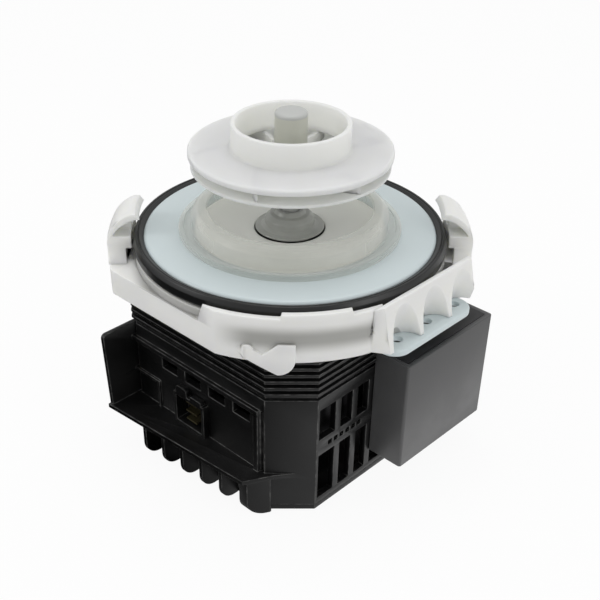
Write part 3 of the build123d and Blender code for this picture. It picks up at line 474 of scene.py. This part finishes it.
def rounded(corners, radii, steps=6):
    """Outline with its corners rounded. At a corner P with unit vectors u and w to its neighbours and
    the angle t between them, the centre lies at P + (u + w) / |u + w| * r / sin(t / 2), and the arc
    turns evenly from the touching point on one side to the one on the other."""
    point = np.array(corners, float)
    radius = np.maximum(np.broadcast_to(np.array(radii, float), len(point)), 0.01)[:, None]
    back = np.roll(point, 1, axis=0) - point
    ahead = np.roll(point, -1, axis=0) - point
    back /= np.linalg.norm(back, axis=1, keepdims=True)
    ahead /= np.linalg.norm(ahead, axis=1, keepdims=True)
    turn = np.arccos(np.clip((back * ahead).sum(1), -1.0, 1.0))[:, None]
    middle = back + ahead
    middle /= np.linalg.norm(middle, axis=1, keepdims=True)
    centre = point + middle * radius / np.sin(turn / 2)
    first = (point + back * radius / np.tan(turn / 2) - centre) / radius
    last = (point + ahead * radius / np.tan(turn / 2) - centre) / radius
    sweep = np.pi - turn
    share_of_arc = np.linspace(0.0, 1.0, steps)[None, :, None]
    spread = first[:, None] * np.sin((1.0 - share_of_arc) * sweep[:, None]) + last[:, None] * np.sin(
        share_of_arc * sweep[:, None]
    )
    arc = centre[:, None] + radius[:, None] * spread / np.sin(sweep)[:, None]
    return arc.reshape(-1, 2)


def turned(name, outline, sides=240):
    """Ring turned about the shaft. Point (r, z) of the closed outline, in mm, goes to
    (r cos a, r sin a, z) for each of the evenly spaced angles a."""
    angle = np.linspace(0.0, 2.0 * np.pi, sides, endpoint=False)
    radius, height = np.asarray(outline, float).T
    grid = np.stack([
        np.outer(np.cos(angle), radius),
        np.outer(np.sin(angle), radius),
        np.broadcast_to(height, (sides, len(height))),
    ], axis=-1)
    count = len(radius)
    a, p = np.meshgrid(np.arange(sides), np.arange(count), indexing="ij")
    a2, p2 = (a + 1) % sides, (p + 1) % count
    faces = np.stack([a * count + p, a2 * count + p, a2 * count + p2, a * count + p2], axis=-1)
    area = (radius * np.roll(height, -1) - np.roll(radius, -1) * height).sum()
    order = slice(None) if area > 0 else slice(None, None, -1)
    mesh = bpy.data.meshes.new(name)
    mesh.from_pydata((grid.reshape(-1, 3) * MM).tolist(), [], faces.reshape(-1, 4)[:, order].tolist())
    mesh.shade_smooth()
    return bpy.data.objects.new(name, mesh)


disc_radius = 58.3
disc_bottom = 91.0
disc_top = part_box("front_plate")[1][2] / MM
boss_bottom = 88.0
film_edge = (0.0385, 0.0375)
disc = turned("front_disc", rounded(
    [(15.0, disc_bottom), (15.0, boss_bottom), (7.0, boss_bottom), (7.0, boss_bottom + 0.4),
     (14.2, boss_bottom + 0.4), (14.2, disc_top), (disc_radius, disc_top), (disc_radius, disc_bottom)],
    [0.6, 0.4, 0.1, 0.1, 0.1, 0.3, 1.7, 0.4],
))
disc_blue_grey = plate_blue_grey.copy()
disc_blue_grey.name = "disc_blue_grey"
disc_nodes = disc_blue_grey.node_tree.nodes
length = disc_nodes.new("ShaderNodeVectorMath")
length.operation = "LENGTH"
flat = disc_nodes.new("ShaderNodeVectorMath")
flat.operation = "MULTIPLY"
flat.inputs[1].default_value = (1.0, 1.0, 0.0)
disc_link = disc_blue_grey.node_tree.links.new
disc_link(disc_nodes["Texture Coordinate"].outputs["Object"], flat.inputs[0])
disc_link(flat.outputs["Vector"], length.inputs[0])
film = disc_nodes.new("ShaderNodeMix")
film.data_type = "RGBA"
disc_link(smooth_step(disc_blue_grey, length.outputs["Value"], *film_edge), film.inputs["Factor"])
disc_link(disc_nodes["Mix"].outputs["Result"], film.inputs["A"])
film.inputs["B"].default_value = (0.80, 0.80, 0.765, 1.0)
disc_link(film.outputs["Result"], disc_nodes["Principled BSDF"].inputs["Base Color"])
finish_piece(disc, disc_blue_grey, "motor", "front_plate")

# Sump gasket
# A black rubber ring stretched round the front plate, with a rounded belly that seals in the sump and
# a shallow groove in its top.
gasket_rubber = moulded(
    "gasket_rubber", (0.008, 0.0085, 0.0085), (0.30, 0.42), drift=0.1, grain=0.6, depth=0.004
)
gasket_bottom = 87.6
belly_radius = 62.5
gasket = turned("gasket_ring", rounded(
    [(disc_radius, 92.9), (disc_radius, gasket_bottom), (61.2, gasket_bottom), (belly_radius, 89.4),
     (belly_radius, 92.2), (61.6, 94.0), (60.8, 94.0), (60.5, 93.5), (60.0, 93.9)],
    [0.1, 0.3, 0.8, 1.2, 1.2, 0.5, 0.15, 0.15, 0.3],
))
finish_piece(gasket, gasket_rubber, "motor", "sump_gasket")

# Guide ring
# A clear, slightly milky ring with a flat foot and a low domed wall, open at the top, that leads the
# water round the seal. It is glued to the front plate.
clear = bpy.data.materials.new("milky_clear")
clear.use_nodes = True
clear_nodes = clear.node_tree.nodes
clear_link = clear.node_tree.links.new
milk = clear_nodes["Principled BSDF"]
milk.inputs["Base Color"].default_value = (0.90, 0.90, 0.875, 1.0)
milk.inputs["Roughness"].default_value = 0.12
through = clear_nodes.new("ShaderNodeBsdfTransparent")
through.inputs["Color"].default_value = (0.97, 0.975, 0.96, 1.0)
slant = clear_nodes.new("ShaderNodeLayerWeight")
slant.inputs["Blend"].default_value = 0.35
haze = clear_nodes.new("ShaderNodeMapRange")
haze.inputs["To Min"].default_value = 0.10
haze.inputs["To Max"].default_value = 0.62
clear_link(slant.outputs["Facing"], haze.inputs["Value"])
cloud = clear_nodes.new("ShaderNodeTexNoise")
cloud.inputs["Scale"].default_value = 1.0 / (9.0 * MM)
cloud_place = clear_nodes.new("ShaderNodeTexCoord")
clear_link(cloud_place.outputs["Object"], cloud.inputs["Vector"])
wave_bump = clear_nodes.new("ShaderNodeBump")
wave_bump.inputs["Distance"].default_value = 0.05 * MM
clear_link(cloud.outputs["Fac"], wave_bump.inputs["Height"])
clear_link(wave_bump.outputs["Normal"], milk.inputs["Normal"])
clear_mix = clear_nodes.new("ShaderNodeMixShader")
clear_link(haze.outputs["Result"], clear_mix.inputs[0])
clear_link(through.outputs[0], clear_mix.inputs[1])
clear_link(milk.outputs[0], clear_mix.inputs[2])
clear_link(clear_mix.outputs[0], clear_nodes["Material Output"].inputs["Surface"])
foot_radius = 44.3
waist_radius, waist_bore = 39.2, 37.4
bell = turned("guide_bell", rounded(
    [(waist_bore, disc_top), (foot_radius, disc_top), (foot_radius, disc_top + 2.2),
     (42.3, disc_top + 2.2), (42.1, disc_top + 1.7), (waist_radius, disc_top + 1.7),
     (waist_radius, disc_top + 7.0), (36.6, disc_top + 9.4), (32.9, disc_top + 9.7),
     (32.7, disc_top + 8.3), (36.0, disc_top + 7.8), (waist_bore, disc_top + 6.2)],
    [0.2, 0.3, 0.5, 0.2, 0.2, 0.9, 2.0, 2.0, 0.6, 0.6, 1.2, 1.2],
))
finish_piece(bell, clear, "motor", "guide_ring")

# Shaft seal
# The ceramic seat lies in a rubber cup in the front plate and stands still. The carbon ring runs on it,
# pressed by a spring inside a grey moulded bell that grips the steel shaft.
seal_grey = moulded("seal_grey", (0.33, 0.335, 0.315), (0.14, 0.24), drift=0.15, grain=0.8, depth=0.01)
shaft_radius = 4.0
rim_radius, rim_bottom = 13.8, 94.3
seal_top = 101.9
seal = turned("seal_bell_moulding", rounded(
    [(12.4, rim_bottom), (rim_radius, rim_bottom), (rim_radius, 95.0), (10.6, 95.5), (9.9, 96.2),
     (9.6, 98.6), (7.9, 100.3), (6.3, 100.5), (5.4, seal_top), (shaft_radius, seal_top),
     (shaft_radius, 99.5), (8.0, 97.5), (12.4, 94.8)],
    [0.1, 0.3, 0.3, 0.3, 0.4, 1.0, 0.8, 0.3, 0.5, 0.1, 0.1, 0.5, 0.1],
), sides=160)
finish_piece(seal, seal_grey, "rotor", "seal_bell")
lapped_ceramic = moulded("lapped_ceramic", (0.78, 0.76, 0.71), (0.2, 0.3), grain=0.2)
lapped_carbon = moulded("lapped_carbon", (0.03, 0.03, 0.032), (0.35, 0.5), grain=0.2)
shaft_steel = moulded("shaft_steel", (0.42, 0.42, 0.42), (0.2, 0.34), drift=0.1, grain=0.15, Metallic=1.0)
dress(lapped_ceramic, "seal_seat")
dress(gasket_rubber, "seat_cup")
dress(lapped_carbon, "carbon_ring")
dress(plated_steel, "seal_spring")
dress(shaft_steel, "shaft")

# Impeller
# A closed wheel of waxy white plastic in two mouldings welded together: the base with six curved
# vanes, and the shroud with the collar of the eye. Its grey hub is pressed onto the shaft.
impeller_white = moulded(
    "impeller_white", (0.80, 0.805, 0.77), (0.36, 0.48), drift=0.015, grain=0.5, depth=0.002,
    Subsurface_Weight=0.8, Subsurface_Scale=0.012, Subsurface_Radius=(1.0, 1.0, 0.85),
)
wheel_top = 128.0
wheel_bottom = 120.5
shroud_radius = 39.5
shroud_wall = 1.6
collar_radius, eye_radius = 22.95, 21.15
collar_top = wheel_top + 9.9
shroud = turned("impeller_shroud_moulding", rounded(
    [(shroud_radius, wheel_top), (shroud_radius, wheel_top - 2.5), (37.9, wheel_top - 2.5),
     (37.9, wheel_top - shroud_wall), (eye_radius, wheel_top - shroud_wall), (eye_radius, collar_top),
     (collar_radius, collar_top), (collar_radius, wheel_top)],
    [0.9, 0.3, 0.2, 0.2, 0.5, 0.6, 0.6, 1.2],
))
finish_piece(shroud, impeller_white, "rotor", "impeller_shroud")


def vanes(name, count, centre, radius, first, last, thickness, floor, ceiling, turn):
    """Curved vanes, evenly spaced from the angle turn on. The middle line of the first is the arc
    centre + radius (cos a, sin a) for a from first to last, and its half thickness at the share s of the
    arc is t/2 (1 - |2s - 1|^6)^(1/2). It stands between the two heights as an upright wall."""
    steps = 33
    s = np.linspace(0.0, 1.0, steps)
    a = first + (last - first) * s
    half = thickness / 2 * np.sqrt(1.0 - np.abs(2.0 * s - 1.0) ** 6)
    out = np.stack([np.cos(a), np.sin(a)], axis=-1)
    outer = np.array(centre) + out * (radius + half)[:, None]
    inner = np.array(centre) + out * (radius - half)[:, None]
    loop = np.concatenate([outer, inner[-2:0:-1]])
    size = len(loop)
    turns = turn + np.arange(count) * 2.0 * np.pi / count
    c, d = np.cos(turns)[:, None], np.sin(turns)[:, None]
    x = c * loop[None, :, 0] - d * loop[None, :, 1]
    y = d * loop[None, :, 0] + c * loop[None, :, 1]
    low = np.stack([x, y, np.full_like(x, floor)], axis=-1)
    high = np.stack([x, y, np.full_like(x, ceiling)], axis=-1)
    points = np.stack([low, high], axis=1).reshape(-1, 3)
    area = (loop[:, 0] * np.roll(loop[:, 1], -1) - np.roll(loop[:, 0], -1) * loop[:, 1]).sum()
    i = np.arange(size)
    j = (i + 1) % size
    if area < 0:
        i, j = j, i
    start = (np.arange(count) * 2 * size)[:, None, None]
    sides = (start + np.stack([i, j, j + size, i + size], axis=-1)[None]).reshape(-1, 4)
    ring = np.arange(size) if area > 0 else np.arange(size)[::-1]
    caps = np.concatenate([start[:, 0] + ring[None, ::-1], start[:, 0] + size + ring[None]])
    mesh = bpy.data.meshes.new(name)
    mesh.from_pydata((points * MM).tolist(), [], sides.tolist() + caps.tolist())
    return mesh


vane_count = 6
vane_thickness = 1.6
vane_inner_reach, vane_outer_reach = 11.0, 38.2
vane_tip_inset = 0.2
vane_centre = np.array([(vane_inner_reach + vane_outer_reach) / 2, 18.7])
vane_radius = 24.0
vane_turn = np.radians(-2.4)
base_radius = 38.6
base_thickness = 1.2
hub_hole, hub_collar = 6.3, 8.3
weld_overlap = (0.1, 0.05)


def meeting(distance):
    """Angle on the vane's arc where it lies at the given distance from the shaft: the lower of the two
    crossings of circles about the shaft and about the vane's centre."""
    gap = np.linalg.norm(vane_centre)
    toward = (gap ** 2 + distance ** 2 - vane_radius ** 2) / (2 * gap)
    aside = np.sqrt(distance ** 2 - toward ** 2)
    unit = vane_centre / gap
    crossing = unit * toward + np.array([unit[1], -unit[0]]) * aside - vane_centre
    other = unit * toward - np.array([unit[1], -unit[0]]) * aside - vane_centre
    lower = crossing if crossing[1] < other[1] else other
    return np.arctan2(lower[1], lower[0])


vane_mesh = vanes(
    "vane_blades", vane_count, vane_centre, vane_radius, meeting(vane_inner_reach + vane_tip_inset),
    meeting(vane_outer_reach - vane_tip_inset), vane_thickness,
    wheel_bottom + base_thickness - weld_overlap[0], wheel_top - shroud_wall + weld_overlap[1], vane_turn,
)
wheel = turned("impeller_base_moulding", rounded(
    [(hub_hole, wheel_bottom), (base_radius, wheel_bottom), (base_radius, wheel_bottom + base_thickness),
     (hub_collar, wheel_bottom + base_thickness), (hub_collar, wheel_bottom + 4.2),
     (hub_hole, wheel_bottom + 4.2)],
    [0.2, 0.4, 0.4, 0.8, 0.6, 0.2],
))
joined = bmesh.new()
joined.from_mesh(wheel.data)
joined.from_mesh(vane_mesh)
joined.to_mesh(wheel.data)
joined.free()
wheel.data.shade_smooth()
wheel.data.set_sharp_from_angle(angle=np.radians(40.0))
finish_piece(wheel, impeller_white, "rotor", "impeller_base")

hub_grey = moulded("hub_grey", (0.56, 0.565, 0.50), (0.35, 0.5), drift=0.04, grain=0.4, depth=0.003)
cap_grey = moulded("cap_grey", (0.50, 0.51, 0.495), (0.3, 0.45), drift=0.03, grain=0.4, depth=0.003)
dress(hub_grey, "impeller_hub")
dress(cap_grey, "hub_cap")
